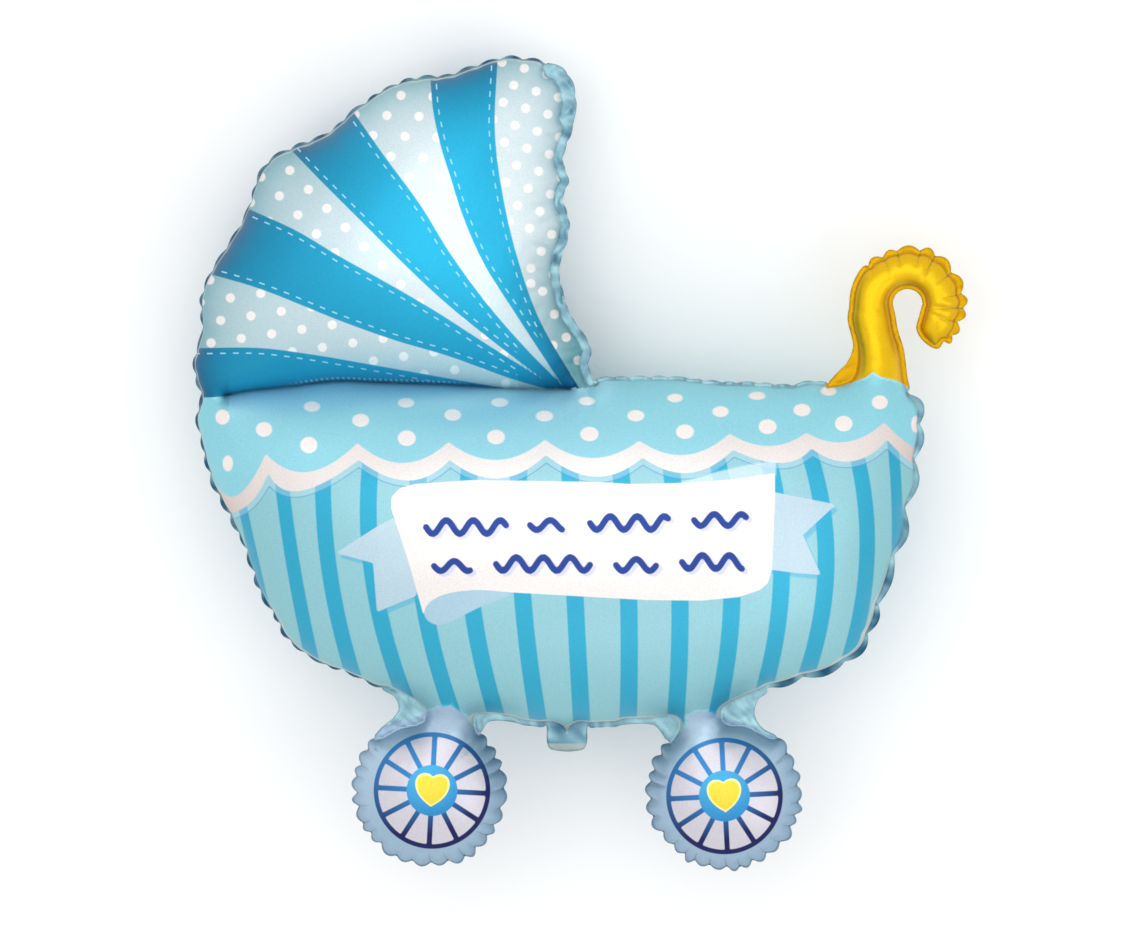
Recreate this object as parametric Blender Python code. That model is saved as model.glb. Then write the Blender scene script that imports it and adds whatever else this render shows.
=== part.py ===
import math

import bpy
import numpy as np
from mathutils import Vector, geometry

for old in list(bpy.data.objects):
    bpy.data.objects.remove(old, do_unlink=True)

# Pattern sizes are millimetres on the flat print sheet, x to the right and y down, as the pram is seen from its front
SHEET_CENTRE = (577.5, 462.0)
MM = 0.001

# The envelope: two films sealed along a seam, with a flat flange outside it
FILM_HALF = 0.6
FLANGE = 7.0
HOOD_FRONT_FLANGE = 12.0
WHEEL_FLANGE = 6.0
HANDLE_FLANGE = 4.5
PUFF = 0.85
HANDLE_PUFF = 0.98

# Puckers of the sealed edge
EDGE_PITCH = 22.0
HOOD_DEPTH = 3.0
BASKET_DEPTH = 4.5
WHEEL_DEPTH = 5.5
HOOK_DEPTH = 7.0
SEAM_FOLLOWS = 0.8

# Hood: a fan round a centre, its radius in millimetres at each angle in degrees
HOOD_CENTRE = (500.0, 370.0)
HOOD_RADII = (
    (84, 312), (90, 311.5), (99, 299.5), (110, 304.5), (118, 298.5), (127, 293.5), (138, 311),
    (151, 298.5), (165, 309), (173, 302.5), (179, 308.5), (184.5, 302),
)
HOOD_FOOT = (593.0, 381.0)
HOOD_FRONT = (
    HOOD_FOOT, (588.5, 364), (590.5, 349), (583, 333), (570, 315), (562, 291), (558.5, 268), (569, 226),
    (562.5, 197), (568, 181), (562.5, 160), (573, 126), (575.5, 94), (566, 72), (546, 62.5),
)

# Basket: the tub's two sides, seen from the front
BASKET_LEFT = (
    (200.5, 402), (195, 418), (202, 451), (213, 486), (230, 517), (243, 548), (257, 586), (275, 619.5),
    (292, 646.5), (321, 665), (354, 677.5), (382, 690.5),
)
BASKET_RIGHT = (
    (769, 690), (792, 683), (826, 672.5), (852, 660), (868, 644), (878, 617), (887, 588), (897.5, 556),
    (907, 534), (911, 508), (919, 480), (919.5, 450), (923, 424), (920, 402), (909, 388),
)
BASKET_TOP = (
    (829, 383), (812, 381.5), (792, 385), (755, 383.5), (712, 382), (680, 378.5), (640, 378), (606, 379),
)

# Wheels: discs of foil, and the flat webs beside their necks
WHEEL_RADIUS = 76.0
LEFT_WHEEL = (430.0, 790.5)
RIGHT_WHEEL = (725.0, 792.5)
LEFT_WHEEL_TURN = (137.0, 409.0)
RIGHT_WHEEL_TURN = (138.0, 408.0)
LEFT_WEB_OUT = ((395, 698), (399.5, 711), (394, 721), (384, 729))
LEFT_WEB_IN = ((486, 723), (495, 720.5), (519, 722.5))
RIGHT_WEB_IN = ((622, 723.5), (643, 722.5), (656, 724.5), (663, 732))
RIGHT_WEB_OUT = ((763, 730), (753.5, 715), (757, 699))
LEFT_NECK_OUT = ((404, 701), (420, 711.5), (420, 721), (398, 727))
LEFT_NECK_IN = ((478.5, 727), (478, 720.5), (488, 719.5), (519, 722.5))
RIGHT_NECK_IN = ((622, 723.5), (655, 722.5), (675, 721), (676, 728))
RIGHT_NECK_OUT = ((746, 722), (728, 720), (727, 711), (748, 699))

# Tail tab between the wheels: the middle of its top edge, its size, and how far the tub's seam dips into it
TAB_PLACE = (567.0, 725.5)
TAB_WIDTH = 39.0
TAB_LENGTH = 27.0
TAB_CORNER = 9.0
TAB_DIP = 15.0

# Handle: a stem that bends over into a hook
HOOK_CENTRE = (907.0, 302.5)
HOOK_INNER, HOOK_OUTER = 16.0, 58.0
HOOK_INNER_TURN = (200.0, 0.0)
HOOK_OUTER_TURN = (-36.0, 180.0)
HOOK_END = ((919.5, 315), (917, 328), (926, 341), (937, 346), (943, 339), (950, 343))
STEM_RIGHT = ((906, 380), (904, 365), (901.5, 348), (896, 330))
STEM_LEFT = ((849, 318), (854.5, 345), (849, 361), (838, 373))
STEM_LEFT_NECK = ((849, 318), (855, 345), (855, 361), (850, 376))
HANDLE_MARGIN = 20.0
HANDLE_BLEND = 25.0

# The welded line between hood and basket
WELD = ((224, 396.5), (250, 391.5), (289, 387), (338, 381), (373, 382), (451, 384.5), (520, 388.5), (572, 388.5))

# How the balloon lies on its back, and how deep the floor presses into it
LIE_TILT_DEG = -6.4
LIE_ROLL_DEG = -0.45
PRESS = 3.0

# Mesh spacing in millimetres, and the least doubled triangle area that the puffing works with
SLIVER = 0.01
POINTS_PER_LOBE = 4
PLAIN_STEP = 13.0
FIRST_RING, FIRST_RING_STEP = 4.0, 9.5
SECOND_RING, SECOND_RING_STEP = 12.5, 17.0
LATTICE = 26.0


def arc(centre, radius, turn, count=24):
    angles = np.radians(np.linspace(turn[0], turn[1], count))
    return [(centre[0] + radius * math.cos(a), centre[1] - radius * math.sin(a)) for a in angles]


def fan(centre, radii):
    return [(centre[0] + r * math.cos(math.radians(a)), centre[1] - r * math.sin(math.radians(a))) for a, r in radii]


def spline(anchors):
    # A smooth curve through the anchors, one point per millimetre, with y turned upward
    p = np.array([(x - SHEET_CENTRE[0], SHEET_CENTRE[1] - y) for x, y in anchors])
    p = np.vstack([2 * p[0] - p[1], p, 2 * p[-1] - p[-2]])
    out = []
    for a, b, c, d in zip(p, p[1:], p[2:], p[3:]):
        ab, bc, cd = (max(math.dist(u, v), 1e-6) ** 0.5 for u, v in ((a, b), (b, c), (c, d)))
        m1 = (b - a) / ab - (c - a) / (ab + bc) + (c - b) / bc
        m2 = (c - b) / bc - (d - b) / (bc + cd) + (d - c) / cd
        m1, m2 = m1 * bc, m2 * bc
        t = np.linspace(0, 1, max(2, int(math.dist(b, c))), endpoint=False)[:, None]
        out.append((2 * t**3 - 3 * t**2 + 1) * b + (t**3 - 2 * t**2 + t) * m1
                   + (3 * t**2 - 2 * t**3) * c + (t**3 - t**2) * m2)
    return np.vstack(out + [p[-2:-1]])


def length_along(path):
    return np.concatenate([[0], np.cumsum(np.linalg.norm(np.diff(path, axis=0), axis=1))])


def segments(with_tab):
    # Each stretch of the edge: its curve, its pucker depth, its flange and its point spacing, or None where it puckers
    left_wheel = arc(LEFT_WHEEL, WHEEL_RADIUS, LEFT_WHEEL_TURN)
    right_wheel = arc(RIGHT_WHEEL, WHEEL_RADIUS, RIGHT_WHEEL_TURN)
    inner_hook = arc(HOOK_CENTRE, HOOK_INNER, HOOK_INNER_TURN, 12)
    outer_hook = arc(HOOK_CENTRE, HOOK_OUTER, HOOK_OUTER_TURN)
    hood = fan(HOOD_CENTRE, HOOD_RADII)
    middle, top = TAB_PLACE
    left, right, bottom = middle - TAB_WIDTH / 2, middle + TAB_WIDTH / 2, top + TAB_LENGTH
    if with_tab:
        r = TAB_CORNER
        tab = [(left, top), (left, bottom - r), (left + 0.3 * r, bottom - 0.3 * r), (left + r, bottom - 1),
               (middle, bottom), (right - r, bottom - 1), (right - 0.3 * r, bottom - 0.3 * r),
               (right, bottom - r), (right, top)]
    else:
        tab = [(left, top), (middle - 9, top + 4), (middle, top + TAB_DIP), (middle + 9, top + 4), (right, top)]
    left_out, left_in = (LEFT_WEB_OUT, LEFT_WEB_IN) if with_tab else (LEFT_NECK_OUT, LEFT_NECK_IN)
    right_in, right_out = (RIGHT_WEB_IN, RIGHT_WEB_OUT) if with_tab else (RIGHT_NECK_IN, RIGHT_NECK_OUT)
    stem_left = STEM_LEFT if with_tab else STEM_LEFT_NECK
    return [
        (list(HOOD_FRONT), 0, HOOD_FRONT_FLANGE, PLAIN_STEP),
        ([HOOD_FRONT[-1]] + hood, HOOD_DEPTH, FLANGE, None),
        ([hood[-1]] + list(BASKET_LEFT), BASKET_DEPTH, FLANGE, None),
        ([BASKET_LEFT[-1]] + list(left_out) + [left_wheel[0]], 0, FLANGE, 9),
        (left_wheel, WHEEL_DEPTH, WHEEL_FLANGE, None),
        ([left_wheel[-1]] + list(left_in), 0, FLANGE, 9),
        ([LEFT_WEB_IN[-1], (left, top)], 0, FLANGE, PLAIN_STEP),
        (tab, 0, FLANGE, 9),
        ([(right, top), RIGHT_WEB_IN[0]], 0, FLANGE, PLAIN_STEP),
        (list(right_in) + [right_wheel[0]], 0, FLANGE, 9),
        (right_wheel, WHEEL_DEPTH, WHEEL_FLANGE, None),
        ([right_wheel[-1]] + list(right_out) + [BASKET_RIGHT[0]], 0, FLANGE, 9),
        (list(BASKET_RIGHT), BASKET_DEPTH, FLANGE, None),
        ([BASKET_RIGHT[-1]] + list(STEM_RIGHT) + [inner_hook[0]], 0, HANDLE_FLANGE, PLAIN_STEP),
        (inner_hook, 0, HANDLE_FLANGE, 7),
        ([inner_hook[-1]] + list(HOOK_END) + [outer_hook[0]], 0, HANDLE_FLANGE, 6),
        (outer_hook, HOOK_DEPTH, HANDLE_FLANGE, None),
        ([outer_hook[-1]] + list(stem_left) + [BASKET_TOP[0]], 0, HANDLE_FLANGE, PLAIN_STEP),
        (list(BASKET_TOP) + [HOOD_FOOT], 0, FLANGE, PLAIN_STEP),
    ]


def smooth_loop(values, reach):
    window = np.hanning(2 * reach + 3)[1:-1]
    window /= window.sum()
    tail = np.concatenate([values[-reach:], values, values[:reach]])
    if tail.ndim == 1:
        return np.convolve(tail, window, mode="valid")
    return np.column_stack([np.convolve(tail[:, k], window, mode="valid") for k in range(tail.shape[1])])


def build_loop(with_tab):
    # The whole cut edge, one point per millimetre: mean line, outward normal, pucker offset, flange and sample marks
    points, offset, flange, marks = [], [], [], []
    start = 0
    for anchors, depth, width, step in segments(with_tab):
        path = spline(anchors)[:-1]
        along = length_along(path)
        total = along[-1] + 1
        if step is None:
            lobe_count = max(1, round(total / EDGE_PITCH))
            count = lobe_count * POINTS_PER_LOBE
            wave = depth * (np.abs(np.sin(np.pi * lobe_count * along / total)) - 0.64)
        else:
            count = max(1, round(total / step))
            wave = np.zeros(len(path))
        picks = np.searchsorted(along, total * np.arange(count) / count)
        marks.extend(start + np.minimum(picks, len(path) - 1))
        points.append(path)
        offset.append(wave)
        flange.append(np.full(len(path), width))
        start += len(path)
    points = np.vstack(points)
    ahead = np.roll(points, -1, axis=0) - np.roll(points, 1, axis=0)
    tangent = smooth_loop(ahead, 5)
    tangent /= np.linalg.norm(tangent, axis=1)[:, None]
    normal = np.column_stack([tangent[:, 1], -tangent[:, 0]])
    return points, normal, np.concatenate(offset), smooth_loop(np.concatenate(flange), 9), np.array(marks)


def distance_to(points, loop, closed=True):
    # Least distance from each point to a line of straight pieces
    a = loop
    b = np.roll(loop, -1, axis=0)
    if not closed:
        a, b = a[:-1], b[:-1]
    best = np.full(len(points), 1e9)
    for p, q in zip(a, b):
        pq = q - p
        t = np.clip(((points - p) @ pq) / max(pq @ pq, 1e-12), 0, 1)
        best = np.minimum(best, np.linalg.norm(points - p - t[:, None] * pq, axis=1))
    return best


def inside(points, loop):
    x, y = points[:, 0], points[:, 1]
    result = np.zeros(len(points), bool)
    for p, q in zip(loop, np.roll(loop, -1, axis=0)):
        crosses = (p[1] > y) != (q[1] > y)
        with np.errstate(divide="ignore", invalid="ignore"):
            result ^= crosses & (x < (q[0] - p[0]) * (y - p[1]) / (q[1] - p[1]) + p[0])
    return result


def thin_out(points, gap, kept=None):
    # Keeps points in turn, each at least gap from those kept before
    chosen = [] if kept is None else list(kept)
    first = len(chosen)
    for p in points:
        if not chosen or np.min(np.linalg.norm(np.array(chosen) - p, axis=1)) >= gap:
            chosen.append(p)
    return np.array(chosen[first:]).reshape(-1, 2)


def flat_pattern():
    mean, normal, wave, flange, marks = build_loop(True)
    cut = (mean + normal * wave[:, None])[marks]
    mean, normal, wave, flange, marks = build_loop(False)
    seam_mean = mean - normal * flange[:, None]
    seam = (seam_mean + normal * (SEAM_FOLLOWS * wave)[:, None])[marks]
    clear = distance_to(seam, cut)
    seam = seam[(clear > 0.7 * flange[marks]) & inside(seam, cut)]

    weld = spline(WELD)
    weld = weld[np.linspace(0, len(weld) - 1, round(len(weld) / PLAIN_STEP)).astype(int)]

    # Rings inside the seam and beside the weld, then an even lattice
    def ring(reach, step):
        base = seam_mean - normal * reach
        halves = (marks + np.roll(marks, -1) * (np.roll(marks, -1) > marks)) // 2
        picked = base[np.sort(np.concatenate([marks, halves]))] if step < 9 else base[marks]
        beside = np.gradient(weld, axis=0)
        beside /= np.linalg.norm(beside, axis=1)[:, None]
        across = np.column_stack([-beside[:, 1], beside[:, 0]]) * reach
        ends = np.array([weld[0] - beside[0] * reach, weld[-1] + beside[-1] * reach])
        picked = np.vstack([picked, weld + across, weld - across, ends])
        good = inside(picked, seam)
        good &= distance_to(picked, seam) > 0.55 * reach
        good &= distance_to(picked, weld, closed=False) > 0.8 * reach
        return thin_out(picked[good], step)

    first = ring(FIRST_RING, FIRST_RING_STEP)
    second = ring(SECOND_RING, SECOND_RING_STEP)
    second = second[np.min(np.linalg.norm(second[:, None] - first[None], axis=2), axis=1) > 6.0]
    low, high = seam.min(axis=0), seam.max(axis=0)
    rows = np.arange(low[1], high[1], LATTICE * math.sqrt(3) / 2)
    lattice = np.array([
        (x, y) for k, y in enumerate(rows) for x in np.arange(low[0] + (k % 2) * LATTICE / 2, high[0], LATTICE)
    ])
    lattice = lattice[inside(lattice, seam)]
    room = np.minimum(distance_to(lattice, seam), distance_to(lattice, weld, closed=False))
    lattice = lattice[room > SECOND_RING + 0.5 * LATTICE]
    return cut, seam, weld, np.vstack([first, second, lattice])


def triangulate(cut, seam, weld, inner):
    points = np.vstack([cut, seam, weld, inner])
    a, b, c = len(cut), len(seam), len(weld)
    edges = [(k, (k + 1) % a) for k in range(a)]
    edges += [(a + k, a + (k + 1) % b) for k in range(b)]
    edges += [(a + b + k, a + b + k + 1) for k in range(c - 1)]
    result = geometry.delaunay_2d_cdt([Vector(p) for p in points], edges, [], 0, 1e-6)
    out = np.array([tuple(v) for v in result[0]])
    faces = np.array([tuple(f) for f in result[2]])
    faces = faces[inside(out[faces].mean(axis=1), cut)]
    origin = np.array([ids[0] if ids else -1 for ids in result[3]])
    # Points that no triangle uses are left out
    used = np.unique(faces)
    number = np.zeros(len(out), int)
    number[used] = np.arange(len(used))
    return out[used], number[faces], origin[used], a, b, c


def puffed_height(points, faces, fixed):
    # The height of a sealed envelope: the root of twice the soap-film field that is nought on seam and weld
    n = len(points)
    stiff = np.zeros((n, n))
    load = np.zeros(n)
    for i, j, k in faces:
        p, q, r = points[i], points[j], points[k]
        twice = max(abs((q[0] - p[0]) * (r[1] - p[1]) - (q[1] - p[1]) * (r[0] - p[0])), SLIVER)
        sides = ((i, r - q), (j, p - r), (k, q - p))
        for s, u in sides:
            load[s] += twice / 6
            for t, v in sides:
                stiff[s, t] += (u @ v) / (2 * twice)
    free = np.where(~fixed)[0]
    field = np.zeros(n)
    field[free] = np.linalg.solve(stiff[np.ix_(free, free)], load[free])
    # The handle is a thin tube, so it fills out more nearly round than the broad pillows do
    handle_x = HOOK_CENTRE[0] - HOOK_OUTER - SHEET_CENTRE[0] - HANDLE_MARGIN
    handle_y = SHEET_CENTRE[1] - BASKET_TOP[0][1]
    share = np.clip((points[:, 1] - handle_y) / HANDLE_BLEND, 0, 1) * (points[:, 0] > handle_x)
    return (PUFF + (HANDLE_PUFF - PUFF) * share) * np.sqrt(2 * np.maximum(field, 0))


def lay_down(points):
    # Tips the envelope on to its back and lowers it until the floor presses in a little
    tilt, roll = math.radians(LIE_TILT_DEG), math.radians(LIE_ROLL_DEG)
    about_x = np.array([[1, 0, 0], [0, math.cos(tilt), -math.sin(tilt)], [0, math.sin(tilt), math.cos(tilt)]])
    about_y = np.array([[math.cos(roll), 0, math.sin(roll)], [0, 1, 0], [-math.sin(roll), 0, math.cos(roll)]])
    turned = points @ about_x.T @ about_y.T
    turned[:, 2] -= turned[:, 2].min() + PRESS
    turned[:, 2] = np.maximum(turned[:, 2], 0)
    turned[:, :2] -= (turned[:, :2].min(axis=0) + turned[:, :2].max(axis=0)) / 2
    return turned


def envelope():
    cut, seam, weld, inner = flat_pattern()
    points, faces, origin, a, b, c = triangulate(cut, seam, weld, inner)
    flat_part = (origin < a + b + c) | ~inside(points, seam)
    height = FILM_HALF + puffed_height(points, faces, flat_part)
    n = len(points)
    front = np.column_stack([points, height])
    back = np.column_stack([points, -height])
    rim = [k for ids in range(a) for k in np.where(origin == ids)[0]]
    wall = []
    for p, q in zip(rim, rim[1:] + rim[:1]):
        wall += [(p + n, q + n, q), (p + n, q, p)]
    solid = np.vstack([faces, faces[:, ::-1] + n, wall])
    return lay_down(np.vstack([front, back])) * MM, solid


def add_balloon():
    points, faces = envelope()
    mesh = bpy.data.meshes.new("balloon")
    mesh.from_pydata(points.tolist(), [], faces.tolist())
    mesh.validate()
    foil = bpy.data.materials.new("printed_foil")
    foil.use_nodes = True
    shader = foil.node_tree.nodes["Principled BSDF"]
    shader.inputs["Base Color"].default_value = (0.16, 0.54, 0.72, 1)
    shader.inputs["Roughness"].default_value = 0.25
    mesh.materials.append(foil)
    mesh.polygons.foreach_set("use_smooth", np.ones(len(mesh.polygons), bool))
    body = bpy.data.objects.new("balloon", mesh)
    bpy.context.scene.collection.objects.link(body)
    return body


add_balloon()
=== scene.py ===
import math

import bpy
import numpy as np
from mathutils import Matrix, Vector, geometry


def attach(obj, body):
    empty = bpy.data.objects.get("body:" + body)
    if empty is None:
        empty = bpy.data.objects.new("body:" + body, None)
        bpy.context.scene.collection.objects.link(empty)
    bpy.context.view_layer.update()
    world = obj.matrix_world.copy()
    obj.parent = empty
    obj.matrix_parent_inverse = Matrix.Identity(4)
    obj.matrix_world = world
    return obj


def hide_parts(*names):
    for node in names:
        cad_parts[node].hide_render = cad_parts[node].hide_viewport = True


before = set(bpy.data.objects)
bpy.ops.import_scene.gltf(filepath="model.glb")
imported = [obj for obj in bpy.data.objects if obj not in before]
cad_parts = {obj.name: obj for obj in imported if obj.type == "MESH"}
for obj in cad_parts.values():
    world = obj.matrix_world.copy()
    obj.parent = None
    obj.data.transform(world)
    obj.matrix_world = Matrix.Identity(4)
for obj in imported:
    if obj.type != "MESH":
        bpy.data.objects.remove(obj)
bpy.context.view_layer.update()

mm = 0.001

# The print sheet: millimetres, x to the right and y down, as the pram is seen from its front.
# Work on the film is done about the sheet's centre with y turned up.
sheet = {
    "centre": (577.5, 462.0),
    "filmHalf": 0.6,            # half the thickness of the two sealed films
    "puff": 0.85,               # how far broad pillows fill out
    "handlePuff": 0.98,         # the thin handle fills out nearly round
    "tilt": -6.4, "roll": -0.45,  # degrees: how the balloon leans as it lies on its back
    "lift": (-1.627, 1.460, 118.736),  # mm: where the sheet's centre ends up above the floor
}

# The sealed edge, in millimetres
edge = {
    "step": 2.0,                # between points along the cut edge
    "seed": 7,                  # which of the many ways the lobes may fall out
    "uneven": 0.55,             # how far the widths of the lobes vary, as a share
    "notch": 0.64,              # depth of the notches beside the height of the lobes
    "round": 0.85,              # below 1 the lobes are fuller than a half sine
}

hood = {
    "centre": (500.0, 370.0),
    "radii": ((84, 312), (90, 311.5), (99, 299.5), (110, 304.5), (118, 298.5), (127, 293.5), (138, 311),
              (151, 298.5), (165, 309), (173, 302.5), (179, 308.5), (184.5, 302)),
    "foot": (593.0, 381.0),
    "front": ((593.0, 381.0), (588.5, 364), (590.5, 349), (583, 333), (570, 315), (562, 291), (558.5, 268),
              (569, 226), (562.5, 197), (568, 181), (562.5, 160), (573, 126), (575.5, 94), (566, 72), (546, 62.5)),
}

tub = {
    "left": ((200.5, 402), (195, 418), (202, 451), (213, 486), (230, 517), (243, 548), (257, 586), (275, 619.5),
             (292, 646.5), (321, 665), (354, 677.5), (382, 690.5)),
    "right": ((769, 690), (792, 683), (826, 672.5), (852, 660), (868, 644), (878, 617), (887, 588), (897.5, 556),
              (907, 534), (911, 508), (919, 480), (919.5, 450), (923, 424), (920, 402), (909, 388)),
    "top": ((829, 383), (812, 381.5), (792, 385), (755, 383.5), (712, 382), (680, 378.5), (640, 378), (606, 379)),
}

wheels = {
    "radius": 76.0,
    "left": (428.8, 792.2), "leftTurn": (137.0, 409.0),
    "right": (725.0, 792.8), "rightTurn": (138.0, 408.0),
    "leftWebOut": ((395, 698), (399.5, 711), (394, 721), (384, 729)),
    "leftWebIn": ((486, 723), (495, 720.5), (519, 722.5)),
    "rightWebIn": ((622, 723.5), (643, 722.5), (656, 724.5), (663, 732)),
    "rightWebOut": ((763, 730), (753.5, 715), (757, 699)),
    "leftNeckOut": ((404, 701), (420, 711.5), (420, 721), (398, 727)),
    "leftNeckIn": ((478.5, 727), (478, 720.5), (488, 719.5), (519, 722.5)),
    "rightNeckIn": ((622, 723.5), (655, 722.5), (675, 721), (676, 728)),
    "rightNeckOut": ((746, 722), (728, 720), (727, 711), (748, 699)),
}

tab = {"left": 547.5, "right": 586.5, "top": 725.5, "bottom": 752.5, "corner": 9.0,
       "dip": 15.0,             # how far the seam sags into it
       "silverTop": 743.5, "clear": 7.5}  # where its bare silver begins, and how far past its sides that may reach

handle = {
    "centre": (907.0, 302.5), "inner": 16.0, "outer": 55.6,
    "innerTurn": (200.0, 0.0), "outerTurn": (-36.0, 138.0), "plainTurn": (138.0, 182.0),
    "end": ((919.5, 315), (917, 328), (926, 341), (937, 346), (943, 339), (949, 341)),
    "stemRight": ((906, 380), (904, 365), (901.5, 348), (896, 330)),
    "stemLeft": ((849, 318), (854.5, 345), (849, 361), (838, 373)),
    "stemLeftNeck": ((849, 318), (855, 345), (855, 361), (850, 376)),
}

weldLine = ((224, 396.5), (250, 391.5), (289, 387), (338, 381), (373, 382), (451, 384.5), (520, 388.5), (572, 388.5))

# How each stretch of the edge is finished, in millimetres but for creaseDepth and the flange's painted shade. pitch
# and
# depth: the puckers, none where pitch is 0. flange: how far the seam lies inside. follows: how much the seam joins in
# the puckers. creaseDepth and creaseReach: the folds that run in from the notches. crumple: how uneven the pillow is
# beside it. bend: how far the flange leans back at each lobe. ruffle: how far it waves. The column after ruffle:
# painted shade on the flange, 0 pale foil, 1 dark. shift: how far out the whole stretch is moved
traits = ("pitch", "depth", "flange", "follows", "creaseDepth", "creaseReach", "crumple", "bend", "ruffle", "flangeShade",
          "shift")
finish = {
    "hoodFront": (17, 1.4, 9, 0.5, 0.10, 12, 2.2, 0.5, 2.4, 0.45, 0.5),
    "hoodTip": (30, 2.0, 15, 0.8, 0.10, 12, 2.2, 0.5, 3.0, 0.35, 0.0),
    "crown": (22, 3.2, 2.3, 0.35, 0.05, 9, 0.4, 2.5, 0.4, 0.8, 0.4),
    "tubLeft": (21, 4.3, 3.0, 0.3, 0.06, 9, 0.4, 3.0, 0.4, 0.95, 2.0),
    "web": (0, 0, 7, 0, 0, 10, 0.8, 0, 0.8, 0.45, 1.8),
    "wheel": (16.5, 6.0, 2.2, 0.85, 0.34, 13, 0.4, 2.0, 0.4, 0.7, 1.2),
    "bottom": (14, 0.9, 6, 0.3, 0.04, 8, 0.5, 0.5, 1.0, 0.5, 3.6),
    "tab": (0, 0, 6, 0, 0, 10, 0.2, 0, 0.3, 1.5, 0.5),
    "tubRight": (43, 6.5, 5.0, 0.3, 0.06, 11, 0.6, 3.0, 0.8, 0.5, -1.2),
    "stem": (0, 0, 5.0, 0, 0.05, 10, 0.5, 0, 0.6, 0.1, 1.8),
    "hookInside": (0, 0, 4.5, 0, 0.05, 10, 0.3, 0, 0.4, 0.1, 1.2),
    "hookOutside": (18, 5.4, 6.0, 0.45, 0.34, 24, 0.8, 1.5, 0.8, 0.6, 0.8),
    "tubTop": (18, 1.8, 4.0, 0.3, 0.05, 8, 0.6, 0.5, 1.0, 0.25, 2.0),
}


def toFilm(points):
    # Sheet places to film places: about the centre, y up
    p = np.asarray(points, float)
    return np.column_stack([p[:, 0] - sheet["centre"][0], sheet["centre"][1] - p[:, 1]])


def toSheet(points):
    return np.column_stack([sheet["centre"][0] + points[:, 0], sheet["centre"][1] - points[:, 1]])


def arc(centre, radius, turn, count=24):
    a = np.radians(np.linspace(turn[0], turn[1], count))
    return list(zip(centre[0] + radius * np.cos(a), centre[1] - radius * np.sin(a)))


def fan(centre, radii):
    return [(centre[0] + r * math.cos(math.radians(a)), centre[1] - r * math.sin(math.radians(a))) for a, r in radii]


def spline(anchors, step=1.0):
    # Centripetal Catmull-Rom curve through the anchors: cubic Hermite pieces whose slopes weigh both neighbours
    p = np.asarray(anchors, float)
    p = np.vstack([2 * p[0] - p[1], p, 2 * p[-1] - p[-2]])
    out = []
    for a, b, c, d in zip(p, p[1:], p[2:], p[3:]):
        ab, bc, cd = (max(math.dist(u, v), 1e-6) ** 0.5 for u, v in ((a, b), (b, c), (c, d)))
        m1 = ((b - a) / ab - (c - a) / (ab + bc) + (c - b) / bc) * bc
        m2 = ((c - b) / bc - (d - b) / (bc + cd) + (d - c) / cd) * bc
        t = np.linspace(0, 1, max(2, int(math.dist(b, c) / step)), endpoint=False)[:, None]
        out.append((2 * t**3 - 3 * t**2 + 1) * b + (t**3 - 2 * t**2 + t) * m1
                   + (3 * t**2 - 2 * t**3) * c + (t**3 - t**2) * m2)
    return np.vstack(out + [p[-2:-1]])


def unit(rows):
    return rows / np.linalg.norm(rows, axis=-1, keepdims=True)


def turnedLeft(rows):
    # Each direction turned a quarter to its left
    return np.column_stack([-rows[:, 1], rows[:, 0]])


def lengthAlong(path):
    return np.concatenate([[0], np.cumsum(np.linalg.norm(np.diff(path, axis=0), axis=1))])


def edgeStretches(withTab):
    # The cut edge in stretches, anticlockwise from the hood's foot. Without the tab it is the line that the seam
    # keeps to, which cuts across the webs
    leftWheel = arc(wheels["left"], wheels["radius"], wheels["leftTurn"])
    rightWheel = arc(wheels["right"], wheels["radius"], wheels["rightTurn"])
    innerHook = arc(handle["centre"], handle["inner"], handle["innerTurn"], 12)
    outerHook = arc(handle["centre"], handle["outer"], handle["outerTurn"])
    plainHook = arc(handle["centre"], handle["outer"] + 0.8, handle["plainTurn"], 6)
    crown = fan(hood["centre"], hood["radii"])
    left, right, top, bottom, r = tab["left"], tab["right"], tab["top"], tab["bottom"], tab["corner"]
    middle = (left + right) / 2
    names = ("leftWebOut", "leftWebIn", "rightWebIn", "rightWebOut")
    stemLeft = handle["stemLeft"]
    tail = [(left, top), (left, bottom - r), (left + 0.3 * r, bottom - 0.3 * r), (left + r, bottom - 1),
            (middle, bottom), (right - r, bottom - 1), (right - 0.3 * r, bottom - 0.3 * r),
            (right, bottom - r), (right, top)]
    if not withTab:
        tail = [(left, top), (middle - 9, top + 4), (middle, top + tab["dip"]), (middle + 9, top + 4), (right, top)]
        names = tuple(name.replace("Web", "Neck") for name in names)
        stemLeft = handle["stemLeftNeck"]
    leftOut, leftIn, rightIn, rightOut = (list(wheels[name]) for name in names)
    return [
        (list(hood["front"][:12]), "hoodFront"),
        (list(hood["front"][11:]), "hoodTip"),
        ([hood["front"][-1]] + crown, "crown"),
        ([crown[-1]] + list(tub["left"]), "tubLeft"),
        ([tub["left"][-1]] + leftOut + [leftWheel[0]], "web"),
        (leftWheel, "wheel"),
        ([leftWheel[-1]] + leftIn, "web"),
        ([wheels["leftWebIn"][-1], (left, top)], "bottom"),
        (tail, "tab"),
        ([(right, top), wheels["rightWebIn"][0]], "bottom"),
        (rightIn + [rightWheel[0]], "web"),
        (rightWheel, "wheel"),
        ([rightWheel[-1]] + rightOut + [tub["right"][0]], "web"),
        (list(tub["right"]), "tubRight"),
        ([tub["right"][-1]] + list(handle["stemRight"]) + [innerHook[0]], "stem"),
        (innerHook, "hookInside"),
        ([innerHook[-1]] + list(handle["end"]) + [outerHook[0]], "hookInside"),
        (outerHook, "hookOutside"),
        (plainHook + list(stemLeft) + [tub["top"][0]], "stem"),
        (list(tub["top"]) + [hood["foot"]], "tubTop"),
    ]


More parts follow.
